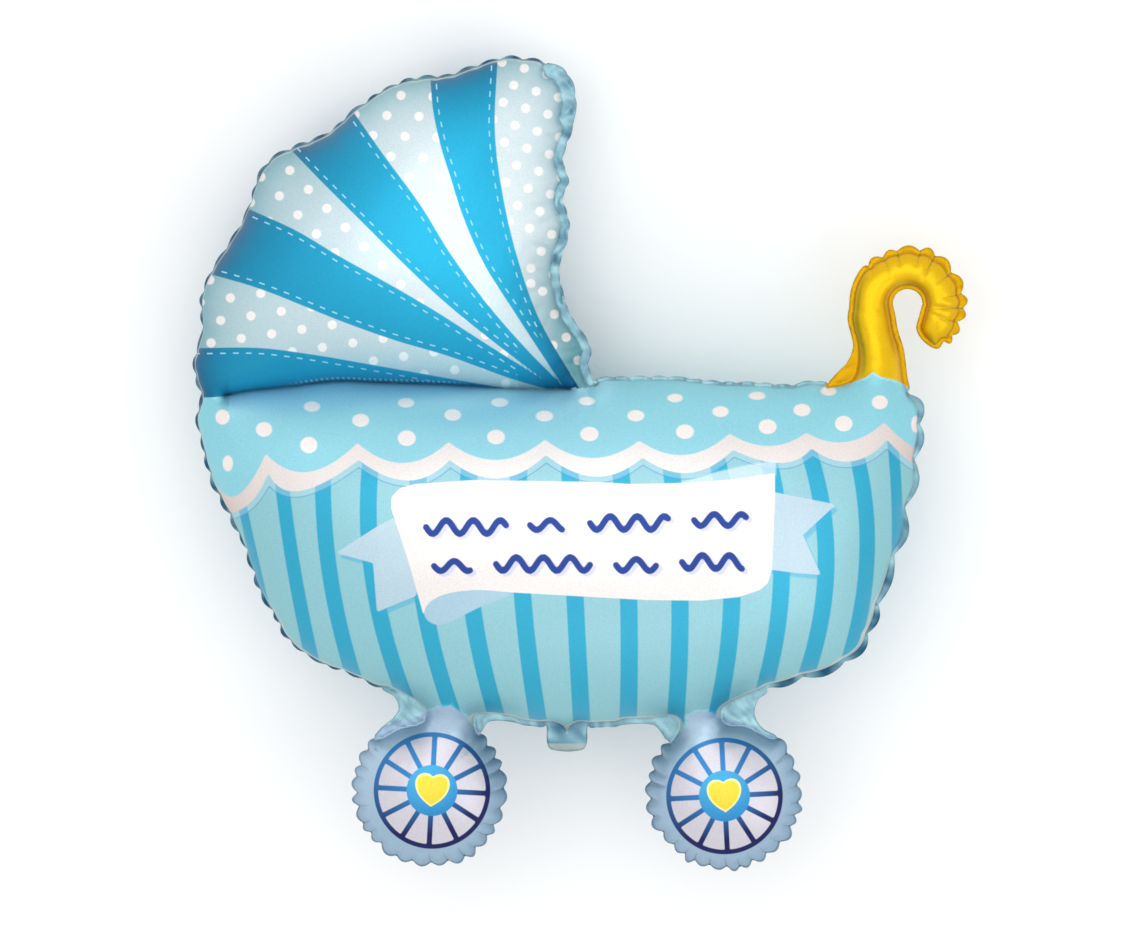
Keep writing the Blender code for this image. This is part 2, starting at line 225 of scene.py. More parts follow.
def smoothLoop(values, reach):
    window = np.hanning(2 * reach + 3)[1:-1]
    window /= window.sum()
    tail = np.concatenate([values[-reach:], values, values[:reach]])
    if tail.ndim == 1:
        return np.convolve(tail, window, mode="valid")
    return np.column_stack([np.convolve(tail[:, k], window, mode="valid") for k in range(tail.shape[1])])


def puckerWave(along, total, pitch, depth, chance):
    # Lobes between notches: each rises as a half sine, and both lobes and notches vary from one to the next.
    # Gives the wave, the height in the lobe, the distance to the nearest notch and the lobe's number
    count = max(1, round(total / pitch))
    ends = np.concatenate([[0], np.cumsum(1 + edge["uneven"] * (chance.random(count) - 0.5))])
    ends *= total / ends[-1]
    notch = depth * edge["notch"] * (0.55 + 0.9 * chance.random(count + 1))
    peak = depth * (0.75 + 0.5 * chance.random(count))
    k = np.clip(np.searchsorted(ends, along, side="right") - 1, 0, count - 1)
    phase = np.clip((along - ends[k]) / (ends[k + 1] - ends[k]), 0, 1)
    wave = peak[k] * np.sin(np.pi * phase) ** edge["round"] - notch[k] * (1 - phase) - notch[k + 1] * phase
    return wave, np.sin(np.pi * phase), np.minimum(phase, 1 - phase) * (ends[k + 1] - ends[k]), k


def edgeLoop(withTab):
    # One row per millimetre of the mean edge: place, outward normal, and a dictionary of pucker, height in the
    # lobe, distance to the nearest notch, the lobe's mark and the stretch's traits
    chance = np.random.default_rng(edge["seed"])
    points, waves, styles = [], [], []
    for number, (anchors, kind) in enumerate(edgeStretches(withTab)):
        pitch, depth, *style = finish[kind]
        path = spline(toFilm(anchors))[:-1]
        along = lengthAlong(path)
        wave = (0, 0, 99, 0)    # plain edge, far from any notch
        if pitch:
            wave = puckerWave(along, along[-1] + 1, pitch, depth, chance)
        points.append(path)
        waves.append(np.column_stack([np.zeros(len(path)) + part for part in wave]))
        waves[-1][:, 3] += 100 * number
        styles.append(np.tile(np.array(style, float), (len(path), 1)))
    points, waves = np.vstack(points), np.vstack(waves)
    tangent = unit(smoothLoop(np.roll(points, -1, axis=0) - np.roll(points, 1, axis=0), 5))
    normal = -turnedLeft(tangent)
    info = dict(zip(traits[2:], smoothLoop(np.vstack(styles), 7).T))
    info.update(wave=smoothLoop(waves[:, 0], 1), lobe=waves[:, 1], notch=waves[:, 2], mark=waves[:, 3])
    return points + normal * info["shift"][:, None], normal, info


def nearestOn(points, line, closed=True):
    # Least distance to a line of straight pieces, and the length along it where that is
    a, b = (line, np.roll(line, -1, axis=0)) if closed else (line[:-1], line[1:])
    best = np.full(len(points), 1e12)
    where = np.zeros(len(points))
    start = 0.0
    x, y = points[:, 0], points[:, 1]
    for (px, py), (qx, qy) in zip(a.tolist(), b.tolist()):
        ux, uy = qx - px, qy - py
        size = max(ux * ux + uy * uy, 1e-12)
        t = np.clip(((x - px) * ux + (y - py) * uy) / size, 0, 1)
        gap = (x - px - t * ux) ** 2 + (y - py - t * uy) ** 2
        closer = gap < best
        best[closer] = gap[closer]
        length = size ** 0.5
        where[closer] = start + t[closer] * length
        start += length
    return np.sqrt(best), where


def inside(points, loop):
    x, y = points[:, 0], points[:, 1]
    result = np.zeros(len(points), bool)
    for (px, py), (qx, qy) in zip(loop.tolist(), np.roll(loop, -1, axis=0).tolist()):
        if py != qy:
            result ^= ((py > y) != (qy > y)) & (x < (qx - px) * (y - py) / (qy - py) + px)
    return result


def signedDistance(points, loop):
    # Negative inside the closed loop
    loop = np.asarray(loop, float)
    gap, _ = nearestOn(points, loop)
    return np.where(inside(points, loop), -gap, gap)


def ripples(points, shortest, longest, seed, count=14):
    # Even unevenness between about -1 and 1: plane waves of chance direction, phase and length added up
    chance = np.random.default_rng(seed)
    total = np.zeros(len(points))
    for angle, phase, size in chance.random((count, 3)):
        length = shortest + (longest - shortest) * size
        across = points @ np.array([math.cos(2 * math.pi * angle), math.sin(2 * math.pi * angle)])
        total += np.sin(2 * math.pi * (across / length + phase))
    return total / math.sqrt(count)


def smoothstep(low, high, value):
    t = np.clip((value - low) / (high - low), 0, 1)
    return t * t * (3 - 2 * t)


deepNotch = 0.2                 # creases deeper than this are drawn as lines of their own


def creaseLines(mean, normal, info):
    # The fold that runs in from each deep notch: start, direction, length, depth, side
    chance = np.random.default_rng(31)
    deep = np.where((np.diff(info["mark"]) != 0) & (info["creaseDepth"][1:] > deepNotch))[0]
    lines = []
    for number, k in enumerate(deep):
        length = info["creaseReach"][k] * (0.7 + 0.8 * chance.random())
        depth = info["creaseDepth"][k] * (0.4 + 0.8 * chance.random())
        lines.append((mean[k], -normal[k], length, depth, 1 - 2 * (number % 2)))
    return lines


def alongCrease(points, start, inward, length):
    # How far in from the notch and how far across the fold each point is, and whether it is near enough
    run = (points - start) @ inward
    off = (points - start) @ np.array([-inward[1], inward[0]])
    return run, off, (run > -9) & (run < length)


print("scene: sealed edge")
cutMean, cutNormal, cutInfo = edgeLoop(True)
everyStep = np.arange(0, len(cutMean) - 1, edge["step"]).astype(int)
cutEdge = (cutMean + cutNormal * cutInfo["wave"][:, None])[everyStep]
seamMean, seamNormal, seamInfo = edgeLoop(False)
creases = creaseLines(seamMean, seamNormal, seamInfo)
seamEdge = seamMean + seamNormal * (seamInfo["follows"] * seamInfo["wave"] - seamInfo["flange"])[:, None]
everyStep = np.arange(0, len(seamMean) - 1, edge["step"]).astype(int)
seamKept = everyStep[inside(seamEdge[everyStep], cutEdge)]
clearGap, _ = nearestOn(seamEdge[seamKept], cutEdge)
# Where the seam's line runs back on itself in a corner it is left out
trueGap = seamInfo["flange"] - (seamInfo["follows"] - 1) * seamInfo["wave"]
seamKept = seamKept[clearGap > 0.62 * np.minimum(trueGap, seamInfo["flange"])[seamKept]]
seamLoop = seamEdge[seamKept]
seamInfo = {name: values[seamKept] for name, values in seamInfo.items()}
weld = spline(toFilm(weldLine))


# How fine the mesh is, in millimetres
fineness = {
    "front": {"rows": 5, "firstRow": 0.3, "along": 2.0, "lattice": 2.7},
    "back": {"rows": 3, "firstRow": 0.9, "along": 4.0, "lattice": 5.6},
    "smallParts": 0.68,         # the lattice in the wheels and the handle beside the rest
    "flange": 2.4,              # the lattice of the flange
    "flangeClear": 1.3,         # how far that keeps from its edges
}
# Where the handle begins, and below which height the wheels are, on the film
handleX = handle["centre"][0] - handle["outer"] - sheet["centre"][0] - 20
handleY = sheet["centre"][1] - tub["top"][0][1]
wheelTop = sheet["centre"][1] - tab["top"]


def triangularGrid(loop, spacing):
    low, high = loop.min(axis=0), loop.max(axis=0)
    rowGap = spacing * 0.75 ** 0.5
    gridX, gridY = np.meshgrid(np.arange(low[0], high[0], spacing), np.arange(low[1], high[1], rowGap))
    gridX[1::2] += spacing / 2
    grid = np.column_stack([gridX.ravel(), gridY.ravel()])
    return grid[inside(grid, loop)]


def smallPart(points):
    # The wheels and the handle
    return (points[:, 1] < wheelTop) | ((points[:, 0] > handleX) & (points[:, 1] > handleY))


def evenly(values, where):
    # Values of a closed line at broken places in it, such as 2.5 for halfway from the third to the fourth
    k = where.astype(int) % len(values)
    part = (where - np.floor(where))[:, None]
    return values[k] * (1 - part) + values[(k + 1) % len(values)] * part


def filmPattern(rows, firstRow, along, lattice):
    # Points of one film on the flat sheet: cut edge, flange, seam, rows that close up towards the seam as the
    # square of their number so that the steep wall is even, and a triangular lattice over the rest, finer in the
    # wheels and the handle
    seam = seamLoop[::max(1, round(along / edge["step"]))]
    welded = weld[np.linspace(0, len(weld) - 1, int(len(weld) / along)).astype(int)]
    inward = unit(turnedLeft(np.roll(seam, -1, axis=0) - np.roll(seam, 1, axis=0)))
    quarters = np.arange(0, len(seam), 0.25)
    dense, denseInward = evenly(seam, quarters), unit(evenly(inward, quarters))
    weldAhead = unit(np.gradient(welded, axis=0))
    across = turnedLeft(weldAhead)
    found = []
    for k in range(1, rows + 1):
        reach, before = firstRow * k * k, firstRow * (k - 1) ** 2
        slack = 0.3 * (reach - before)
        ends = np.vstack([welded[0] - weldAhead[0] * reach, welded[-1] + weldAhead[-1] * reach])
        line = dense + denseInward * reach
        run = lengthAlong(np.vstack([line, line[:1]]))
        line = evenly(line, np.interp(np.arange(0, run[-1], along), run, np.arange(len(run))))
        row = np.vstack([line, welded + across * reach, welded - across * reach, ends])
        row = row[inside(row, seam)]
        fromSeam, _ = nearestOn(row, seam)
        row, fromSeam = row[fromSeam > reach - slack], fromSeam[fromSeam > reach - slack]
        fromWeld, _ = nearestOn(row, welded, closed=False)
        found.append(row[(fromWeld > reach - slack) & (np.minimum(fromSeam, fromWeld) < reach + slack)])
    reach = firstRow * rows * rows
    for spacing, small in ((lattice, False), (fineness["smallParts"] * lattice, True)):
        grid = triangularGrid(seam, spacing)
        grid = grid[smallPart(grid) == small]
        room = np.minimum(nearestOn(grid, seam)[0], nearestOn(grid, welded[::4], closed=False)[0])
        found.append(grid[room > reach + 0.45 * spacing])
    # The flange and the flat webs between seam and cut edge
    flat, clear = triangularGrid(cutEdge, fineness["flange"]), fineness["flangeClear"]
    flat = flat[~inside(flat, seam)]
    found.append(flat[(nearestOn(flat, seam)[0] > clear) & (nearestOn(flat, cutEdge)[0] > clear)])
    return seam, welded, np.vstack(found)


def triangulate(seam, welded, inner):
    points = np.vstack([cutEdge, seam, welded, inner])
    a, b, c = len(cutEdge), len(seam), len(welded)
    edges = [(k, (k + 1) % a) for k in range(a)]
    edges += [(a + k, a + (k + 1) % b) for k in range(b)]
    edges += [(a + b + k, a + b + k + 1) for k in range(c - 1)]
    result = geometry.delaunay_2d_cdt([Vector(p) for p in points.tolist()], edges, [], 0, 1e-6)
    out = np.array([tuple(v) for v in result[0]])
    faces = np.array([tuple(f) for f in result[2]])
    faces = faces[inside(out[faces].mean(axis=1), cutEdge)]
    origin = np.array([min(ids) if ids else len(points) for ids in result[3]])
    return out, faces, origin, a + b + c


def soapFilm(points, faces, fixed):
    # The soap film's height over the seam: finite elements with cotangent weights, solved by conjugate gradients
    n = len(points)
    i, j, k = faces.T
    p, q, r = points[i], points[j], points[k]
    twice = np.abs((q[:, 0] - p[:, 0]) * (r[:, 1] - p[:, 1]) - (q[:, 1] - p[:, 1]) * (r[:, 0] - p[:, 0]))
    twice = np.maximum(twice, 1e-6)
    sides = ((i, r - q), (j, p - r), (k, q - p))
    load = np.zeros(n)
    diagonal = np.zeros(n)
    rows, cols, weights = [], [], []
    for s, u in sides:
        load += np.bincount(s, twice / 6, n)
        diagonal += np.bincount(s, (u * u).sum(axis=1) / (2 * twice), n)
        for t, v in sides:
            if t is not s:
                rows.append(s)
                cols.append(t)
                weights.append((u * v).sum(axis=1) / (2 * twice))
    rows, cols, weights = np.concatenate(rows), np.concatenate(cols), np.concatenate(weights)
    free = ~fixed
    use = free[rows] & free[cols]
    rows, cols, weights = rows[use], cols[use], weights[use]
    field = np.zeros(n)
    rest = np.where(free, load, 0)
    scale = np.where(free, 1 / np.maximum(diagonal, 1e-12), 0)
    push = scale * rest
    strength = rest @ push
    for _ in range(1500):
        pull = np.where(free, diagonal * push + np.bincount(rows, weights * push[cols], n), 0)
        step = strength / (push @ pull)
        field += step * push
        rest -= step * pull
        eased = scale * rest
        fresh = rest @ eased
        if fresh < 1e-9 * abs(load @ field):
            break
        push = eased + fresh / strength * push
        strength = fresh
    return np.maximum(field, 0)


def puffOf(points):
    share = np.clip((points[:, 1] - handleY) / 25, 0, 1) * (points[:, 0] > handleX)
    return sheet["puff"] + (sheet["handlePuff"] - sheet["puff"]) * share


def layDown(points):
    # Film places to the frame: leans the balloon on to its back and sets it at its height over the floor
    tilt, roll = math.radians(sheet["tilt"]), math.radians(sheet["roll"])
    aboutX = np.array([[1, 0, 0], [0, math.cos(tilt), -math.sin(tilt)], [0, math.sin(tilt), math.cos(tilt)]])
    aboutY = np.array([[math.cos(roll), 0, math.sin(roll)], [0, 1, 0], [-math.sin(roll), 0, math.cos(roll)]])
    return (points @ aboutX.T @ aboutY.T + np.array(sheet["lift"])) * mm


seamLength = lengthAlong(np.vstack([seamLoop, seamLoop[:1]]))


def traitsAt(points):
    # What the nearest piece of the seam says of each point, and how far off that is
    gap, where = nearestOn(points, seamLoop)
    k = np.clip(np.searchsorted(seamLength, where, side="right") - 1, 0, len(seamLoop) - 1)
    after = (k + 1) % len(seamLoop)
    part = (where - seamLength[k]) / np.maximum(seamLength[k + 1] - seamLength[k], 1e-9)
    near = {name: v[k] * (1 - part) + v[after] * part for name, v in seamInfo.items() if name != "mark"}
    near["mark"] = seamInfo["mark"][k]
    return gap, near


# Folds seen in the photo besides those at the notches: from, to, depth in millimetres, half width
folds = (
    ((560, 116), (533, 96), 1.3, 2.5), ((558, 152), (536, 138), 1.2, 2.5), ((556, 204), (532, 190), 1.6, 3.0),
    ((556, 262), (536, 240), 1.5, 3.0), ((566, 318), (548, 282), 1.6, 3.0), ((580, 352), (564, 330), 1.4, 2.5),
    ((560, 234), (546, 214), 1.0, 2.0), ((262, 388), (258, 372), 1.0, 1.6), ((274, 386), (268, 366), 1.1, 1.6),
    ((284, 385), (281, 370), 0.8, 1.5), ((290, 388), (300, 408), 0.6, 1.8), ((580, 388), (520, 415), 1.0, 3.0),
    ((586, 386), (566, 410), 0.9, 2.5), ((822, 384), (832, 396), 1.6, 1.8), ((470, 712), (488, 700), 1.2, 2.2),
    ((436, 706), (452, 690), 1.2, 2.4), ((692, 712), (680, 698), 1.2, 2.2), ((742, 698), (728, 684), 1.1, 2.2),
)
# Unevenness of the pillows: wave lengths, heights and reaches in millimetres
uneven = {
    "crumple": (16, 34), "crumpleReach": 22,
    "slow": (45, 120), "slowHeight": 0.45,
    "creaseHalf": 1.7,          # half width of the folds from the notches
    "settle": 10,               # below this height of the pillow the folds fade out
}
# The flange's waves, and the fine folds of the webs beside the wheels
waving = {"facets": (20, 46), "fine": (9, 18), "pleatTurn": 38, "pleatPitch": 9, "pleatDepth": 0.8, "sway": 5}


def relief(points, field, gap, near):
    # Height of the front film, millimetres: the pillow with its folds, crumples and slow unevenness
    height = puffOf(points) * np.sqrt(2 * field)
    chance = np.random.default_rng(19).random(4000)
    pick = (near["mark"] * 7).astype(int) % 4000
    reach = near["creaseReach"] * (0.6 + 0.8 * chance[pick])
    shallow = np.where(near["creaseDepth"] > deepNotch, 0, near["creaseDepth"])
    fold = shallow * np.exp(-(gap / reach) ** 2) * np.exp(-(near["notch"] / (1.3 + 0.06 * gap)) ** 2)
    height *= 1 - fold
    for start, inward, length, depth, _ in creases:
        run, off, here = alongCrease(points, start, inward, length)
        here &= np.abs(off) < 6
        ease = (1 - np.maximum(run[here], 0) / length) ** 0.6
        height[here] *= 1 - depth * ease * np.exp(-(off[here] / uneven["creaseHalf"]) ** 2)
    settle = smoothstep(0, uneven["settle"], height)
    for start, end, depth, half in folds:
        a, b = toFilm([start, end])
        size = np.linalg.norm(b - a)
        t = np.clip(((points - a) @ (b - a)) / size**2, 0, 1)
        off = np.linalg.norm(points - a - t[:, None] * (b - a), axis=1)
        height -= settle * depth * (1 - t) * np.exp(-(off / half) ** 2)
    ridge = np.abs(ripples(points, *uneven["crumple"], 3)) - 0.6
    height += settle * near["crumple"] * ridge * np.exp(-gap / uneven["crumpleReach"])
    height += settle * uneven["slowHeight"] * ripples(points, *uneven["slow"], 5) * smoothstep(10, 60, gap)
    return height


def flutter(points, gap, near):
    # How far the flange stands off the sheet's plane: lobes lean back, the film ruffles, and the webs beside the
    # wheels are pulled into fine folds
    edgeGap, _ = nearestOn(points, cutEdge)
    share = gap / np.maximum(gap + edgeGap, 1e-6)
    lean = -near["bend"] * share * near["lobe"]
    # Flat facets between sharp folds: the size of a slow wave, and a little of a finer one
    facets = 1.4 * np.abs(ripples(points, *waving["facets"], 9)) - 0.8 + 0.3 * ripples(points, *waving["fine"], 10)
    wave = near["ruffle"] * share * facets
    room = smoothstep(0.5, 5, np.minimum(gap, edgeGap))
    turn = math.radians(waving["pleatTurn"])
    across = points @ np.array([math.cos(turn), math.sin(turn)]) + waving["sway"] * ripples(points, 30, 60, 12)
    besideTab = np.abs(points[:, 0] - (tab["left"] + tab["right"]) / 2 + sheet["centre"][0]) < 25
    fine = np.abs(np.sin(math.pi * across / waving["pleatPitch"])) * ((points[:, 1] < -150) & ~besideTab)
    return lean + wave + waving["pleatDepth"] * room * fine


def buildFilm(facts, isFront):
    seam, welded, inner = filmPattern(facts["rows"], facts["firstRow"], facts["along"], facts["lattice"])
    points, faces, origin, lineCount = triangulate(seam, welded, inner)
    outside = ~inside(points, seam)
    onLine = origin < lineCount
    field = soapFilm(points, faces, onLine | outside)
    gap, near = traitsAt(points)
    if isFront:
        height = relief(points, field, gap, near)
    else:
        fold = np.exp(-(gap / near["creaseReach"]) ** 2 - (near["notch"] / 2.5) ** 2)
        height = puffOf(points) * np.sqrt(2 * field) * (1 - 0.7 * near["creaseDepth"] * fold)
    height = np.where(onLine | outside, 0, np.maximum(height, 0))
    flat = outside | (origin < len(cutEdge))
    lift = np.where(flat, flutter(points, gap, near), 0)
    side = 1 if isFront else -1
    place = np.column_stack([points, side * (sheet["filmHalf"] + height) + lift])
    rim = np.full(len(cutEdge), -1)
    onRim = np.where(origin < len(cutEdge))[0]
    rim[origin[onRim]] = onRim
    print("scene:", "front" if isFront else "back", len(points), "points", len(faces), "triangles")
    return {"flat": points, "faces": faces, "place": place, "rim": rim, "gap": np.where(flat, -gap, gap),
            "near": near}


print("scene: films")
front = buildFilm(fineness["front"], True)
back = buildFilm(fineness["back"], False)
frontCount = len(front["flat"])
rimFront, rimBack = front["rim"], back["rim"] + frontCount
nextFront, nextBack = np.roll(rimFront, -1), np.roll(rimBack, -1)
wall = np.vstack([np.column_stack([rimBack, nextBack, nextFront]), np.column_stack([rimBack, nextFront, rimFront])])
allFaces = np.vstack([front["faces"], back["faces"][:, ::-1] + frontCount, wall])
allPlaces = layDown(np.vstack([front["place"], back["place"]]))
allPlaces[:, 2] = np.maximum(allPlaces[:, 2], 0)

# The photo is 1134 by 927 points, one millimetre each on the sheet
view = {"width": 1134, "distance": 8.0, "aside": 4.0, "above": 4.0, "aim": (567.0, 463.5)}
origin = layDown(np.zeros((1, 3)))[0]
sheetX, sheetY, sheetZ = ((layDown(np.eye(3)[k:k + 1])[0] - origin) / mm for k in range(3))
target = layDown(np.append(toFilm([view["aim"]])[0], 0.0)[None])[0]
aside, above = (math.tan(math.radians(view[name])) for name in ("aside", "above"))
toCamera = unit(sheetZ + sheetX * aside + sheetY * above)
cameraPlace = target + toCamera * view["distance"]
cameraRight = unit(np.cross(sheetY, toCamera))
cameraUp = np.cross(toCamera, cameraRight)


def printPlaces(places):
    # Where the printing plate meets each point of the front: the print was measured in the photo, so each point
    # takes its place there, offset over depth times the camera's distance
    line = places - cameraPlace
    scale = view["distance"] / -(line @ toCamera) / mm
    return np.column_stack([view["aim"][0] + line @ cameraRight * scale, view["aim"][1] - line @ cameraUp * scale])


print("scene: print")
farOff = 60.0                   # a distance that says no print is near
# Hood stripes: the two long edges of each, from the outline to the pivot
hoodStripes = (
    (((430.5, 80), (433, 110), (441, 147), (451, 179), (461, 211), (483, 262), (515, 313), (566, 391)),
     ((497.4, 61.4), (494.8, 128), (500, 179), (515, 249), (539, 318.6), (579, 388))),
    (((289.8, 148.5), (319, 179), (367.5, 227.5), (410, 270), (448, 305), (501.5, 348), (555, 388)),
     ((355.5, 115), (383.6, 155), (421, 206), (450.6, 254), (488, 305), (528, 350.7), (568, 391))),
    (((216, 275.7), (260.4, 289), (340.7, 321), (394, 340), (448, 356), (515, 380), (555, 391)),
     ((251, 210), (295, 230), (340.7, 257), (383.6, 281), (434.5, 310.6), (488, 345), (555, 387))),
    (((201, 416), (289, 402), (373, 396), (451, 398), (567, 402)),
     ((202.8, 348), (260, 348), (314, 354.8), (367.5, 364), (421, 373.5), (474.7, 383), (515, 389.6), (560, 394))),
)
# Stitches: how deep inside the stripe, half width, period and dash, how wide the stripe has to be and where they stop
stitching = {"inset": 5.6, "half": 0.62, "period": 13.0, "dash": 0.44, "needs": 15.5, "stop": 16.0}
# Hood dots: the panel's turns about the pivot, one dot's place and the two steps to its neighbours
hoodDots = (
    {"from": 60, "to": 108, "base": (525.6, 108.3), "a": (-10.5, 17), "b": (11.8, 23)},
    {"from": 108, "to": 133.5, "base": (405, 136.4), "a": (18, 21), "b": (-14, 20)},
    {"from": 133.5, "to": 156, "base": (297.9, 214.9), "a": (18.5, 19), "b": (29, -6.5)},
    {"from": 156, "to": 178, "base": (271.6, 333.9), "a": (30.3, -4.5), "b": (20.6, 18)},
)
pivot = (568.0, 390.0)
rimDots = (
    (311.9, 406.5, 8.3, 5.2), (406, 402.8, 8.5, 4.8), (499.7, 402.4, 8.7, 4.4), (586.8, 401, 8.4, 4.2),
    (675, 398, 8, 4.2), (757, 395.8, 8.6, 4), (828.6, 391, 8, 4.6), (222.5, 417, 7, 7.6), (264, 429.4, 8.2, 7.4),
    (360.7, 420.3, 8.6, 6.5), (452.7, 415, 8.5, 5.8), (544.4, 416, 8.8, 5.4), (635.8, 415.7, 8.6, 5.6),
    (720.5, 411.6, 8.2, 5.4), (802, 410, 8.6, 6.2), (879.8, 402.3, 8, 7), (227.8, 463.3, 5.2, 8),
    (308.8, 445, 8.6, 8.2), (406.8, 438.2, 9, 7.8), (496, 437, 9, 7.2), (589.4, 434, 9.2, 7.2), (685, 431.7, 9, 7.2),
    (767.6, 426.7, 9, 7.4), (843.7, 423.6, 8.8, 7.8), (915.7, 424.3, 4.5, 8.4),
)
scallops = {
    "upperCusps": ((265.8, 453.7), (357.4, 443), (448.4, 442), (544.9, 439.5), (639.4, 440.6), (729.6, 433.5),
                   (806.2, 432.8), (883.9, 422.3)),
    "upperDips": ((307.7, 472), (403, 463), (497, 460), (592, 458), (685, 455), (769, 446), (846, 442)),
    "upperStart": ((180, 455), (219, 488), (240, 493.5)), "upperEnd": ((903, 440), (916.6, 448.5), (950, 462)),
    "lowerCusps": ((268.5, 473), (358.7, 460), (449.7, 460), (546, 455), (642.5, 457.6), (733, 450),
                   (811.4, 448.5), (887.3, 440)),
    "lowerDips": ((300, 491), (408, 480.6), (498.6, 478.5), (596, 476.7), (689, 473), (780.6, 463), (851, 461.5)),
    "lowerStart": ((180, 490), (231, 513), (252, 501)), "lowerEnd": ((903, 456), (914, 464), (950, 486)),
    "shade": 5.4, "hairline": 1.1,
}
# Tub stripes: middle at the heights 475, 618 and 684, and half width
tubStripes = {
    "at": (475.0, 618.0, 684.0),
    "middles": ((236, 268, 285), (281, 303, 318), (323, 338, 356), (369.5, 380.5, 400), (418.5, 426.5, 443),
                (469, 474, 487.5), (518.5, 524.5, 532.5), (570, 576, 579.5), (621, 629, 629), (672, 680, 678),
                (720.5, 731, 723), (772, 778.5, 765.5), (815.5, 821, 803), (861, 859.5, 840), (895.5, 893, 884)),
    "halves": (4.5, 7, 8, 8.5, 8.5, 8.7, 8.7, 8.7, 8.7, 8.7, 8.7, 8.5, 8.5, 7.8, 5.5),
}
banner = {
    "banner": ((415, 484), (472, 480), (598, 482), (629, 484), (686, 483), (736, 479), (775, 472.8), (775, 500),
             (772, 569), (768, 583), (760, 590), (739, 597), (702, 600.6), (645, 600), (592, 597), (540, 594),
             (504, 592), (472, 591), (451, 594), (436, 600), (425, 614), (423, 613), (408, 560), (391, 508),
             (391.5, 497), (400, 488)),
    "fold": ((513, 594), (478, 608), (452, 621), (438, 625), (428, 621), (424, 613), (428, 604), (438, 597),
             (455, 592), (480, 590), (513, 593)),
    "leftTail": ((394, 518), (381, 524), (336, 553), (373, 563), (377, 612), (396, 604), (416, 596), (420, 580)),
    "rightTail": ((768, 491), (776, 492.5), (836, 504.5), (803, 535), (821, 575), (796, 573), (766, 569)),
    "tailShade": (3.0, 4.5),
    # A painted highlight at the banner's upper right
    "paintedGleam": ((676, 484), (712, 473), (742, 466), (776, 460), (776, 476), (736, 482), (686, 486)),
}
# Where the photo has words there are two rows of brush strokes: start, end, middle height, swing
strokes = {
    "rows": (((426, 506, 527, 7), (530, 562, 525, 5), (590, 668, 523, 7), (694, 746, 520, 6)),
             ((434, 470, 566, 5), (496, 590, 564, 7), (616, 656, 565, 6), (682, 742, 562, 7))),
    "half": 3.2, "swing": 27.0, "shade": (3.4, 2.6),
}
rims = {"ring": 56.0, "ringHalf": 2.3, "spokes": 12, "spokeHalf": 2.6, "hub": 25.5, "heart": 17.5,
        "leftLean": -3.0, "rightLean": 3.0, "left": (432.0, 790.5), "right": (724.5, 796.0),
        "lightFrom": (-0.45, -0.9)}  # the side that the discs are painted lighter on, as painted light


def lengthened(path, reach=45.0):
    # The path with its first piece drawn out past the outline
    p = np.asarray(path, float)
    return spline(np.vstack([p[0] + unit(p[0] - p[1]) * reach, p]), 7)


def hoodPrint(q):
    # Distance into the nearest dark stripe, and stitch lines: depth inside its edge, length along it, and how much
    # room there is for them
    stripe, depth, along = np.full(len(q), 90.0), np.full(len(q), 90.0), np.zeros(len(q))
    room = np.full(len(q), -9.0)
    for first, second in hoodStripes:
        one, two = lengthened(first), lengthened(second)
        toOne, alongOne = nearestOn(q, one, closed=False)
        toTwo, alongTwo = nearestOn(q, two, closed=False)
        within = inside(q, np.vstack([one, two[::-1]]))
        closest = np.minimum(toOne, toTwo)
        stripe = np.minimum(stripe, np.where(within, -closest, closest))
        left = np.minimum(lengthAlong(one)[-1] - alongOne, lengthAlong(two)[-1] - alongTwo)
        here = within & (closest < depth)
        depth = np.where(here, closest, depth)
        along = np.where(here, np.where(toOne < toTwo, alongOne, alongTwo), along)
        room = np.where(here, np.minimum(toOne + toTwo - stitching["needs"], left - stitching["stop"]), room)
    return stripe, depth, along, room


dotRadius = 4.7


def hoodDotField(q):
    # Distance outside the nearest dot of the hood's light panels
    out = np.full(len(q), farOff)
    centres = []
    steps = np.arange(-14, 15)
    i, j = (grid.ravel() for grid in np.meshgrid(steps, steps))
    for panel in hoodDots:
        c = np.array(panel["base"]) + i[:, None] * np.array(panel["a"]) + j[:, None] * np.array(panel["b"])
        turn = np.degrees(np.arctan2(pivot[1] - c[:, 1], c[:, 0] - pivot[0])) % 360
        reach = np.hypot(c[:, 0] - hood["centre"][0], c[:, 1] - hood["centre"][1])
        centres.append(c[(turn > panel["from"]) & (turn < panel["to"]) & (reach < 315) & (c[:, 1] < 384)])
    near = q[:, 1] < 400
    for x, y in np.vstack(centres).tolist():
        out[near] = np.minimum(out[near], np.hypot(q[near, 0] - x, q[near, 1] - y) - dotRadius)
    return out


def rimDotField(q):
    out = np.full(len(q), farOff)
    for x, y, rx, ry in rimDots:
        out = np.minimum(out, (np.hypot((q[:, 0] - x) / rx, (q[:, 1] - y) / ry) - 1) * min(rx, ry))
    return out


def scallopLine(start, cusps, dips, end):
    # Each scallop is the parabola through its two cusps and its dip
    t = np.linspace(0, 1, 15)[:, None]
    parts = [np.array(start[:1], float)]
    runs = [(start[1], start[2], cusps[0])] + list(zip(cusps, dips, cusps[1:])) + [(cusps[-1], end[0], end[1])]
    for a, b, c in runs:
        a, b, c = np.array(a), np.array(b), np.array(c)
        parts.append((1 - t) * (1 - 2 * t) * a + 4 * t * (1 - t) * b + t * (2 * t - 1) * c)
    parts.append(np.array(end[2:], float))
    return np.vstack(parts)


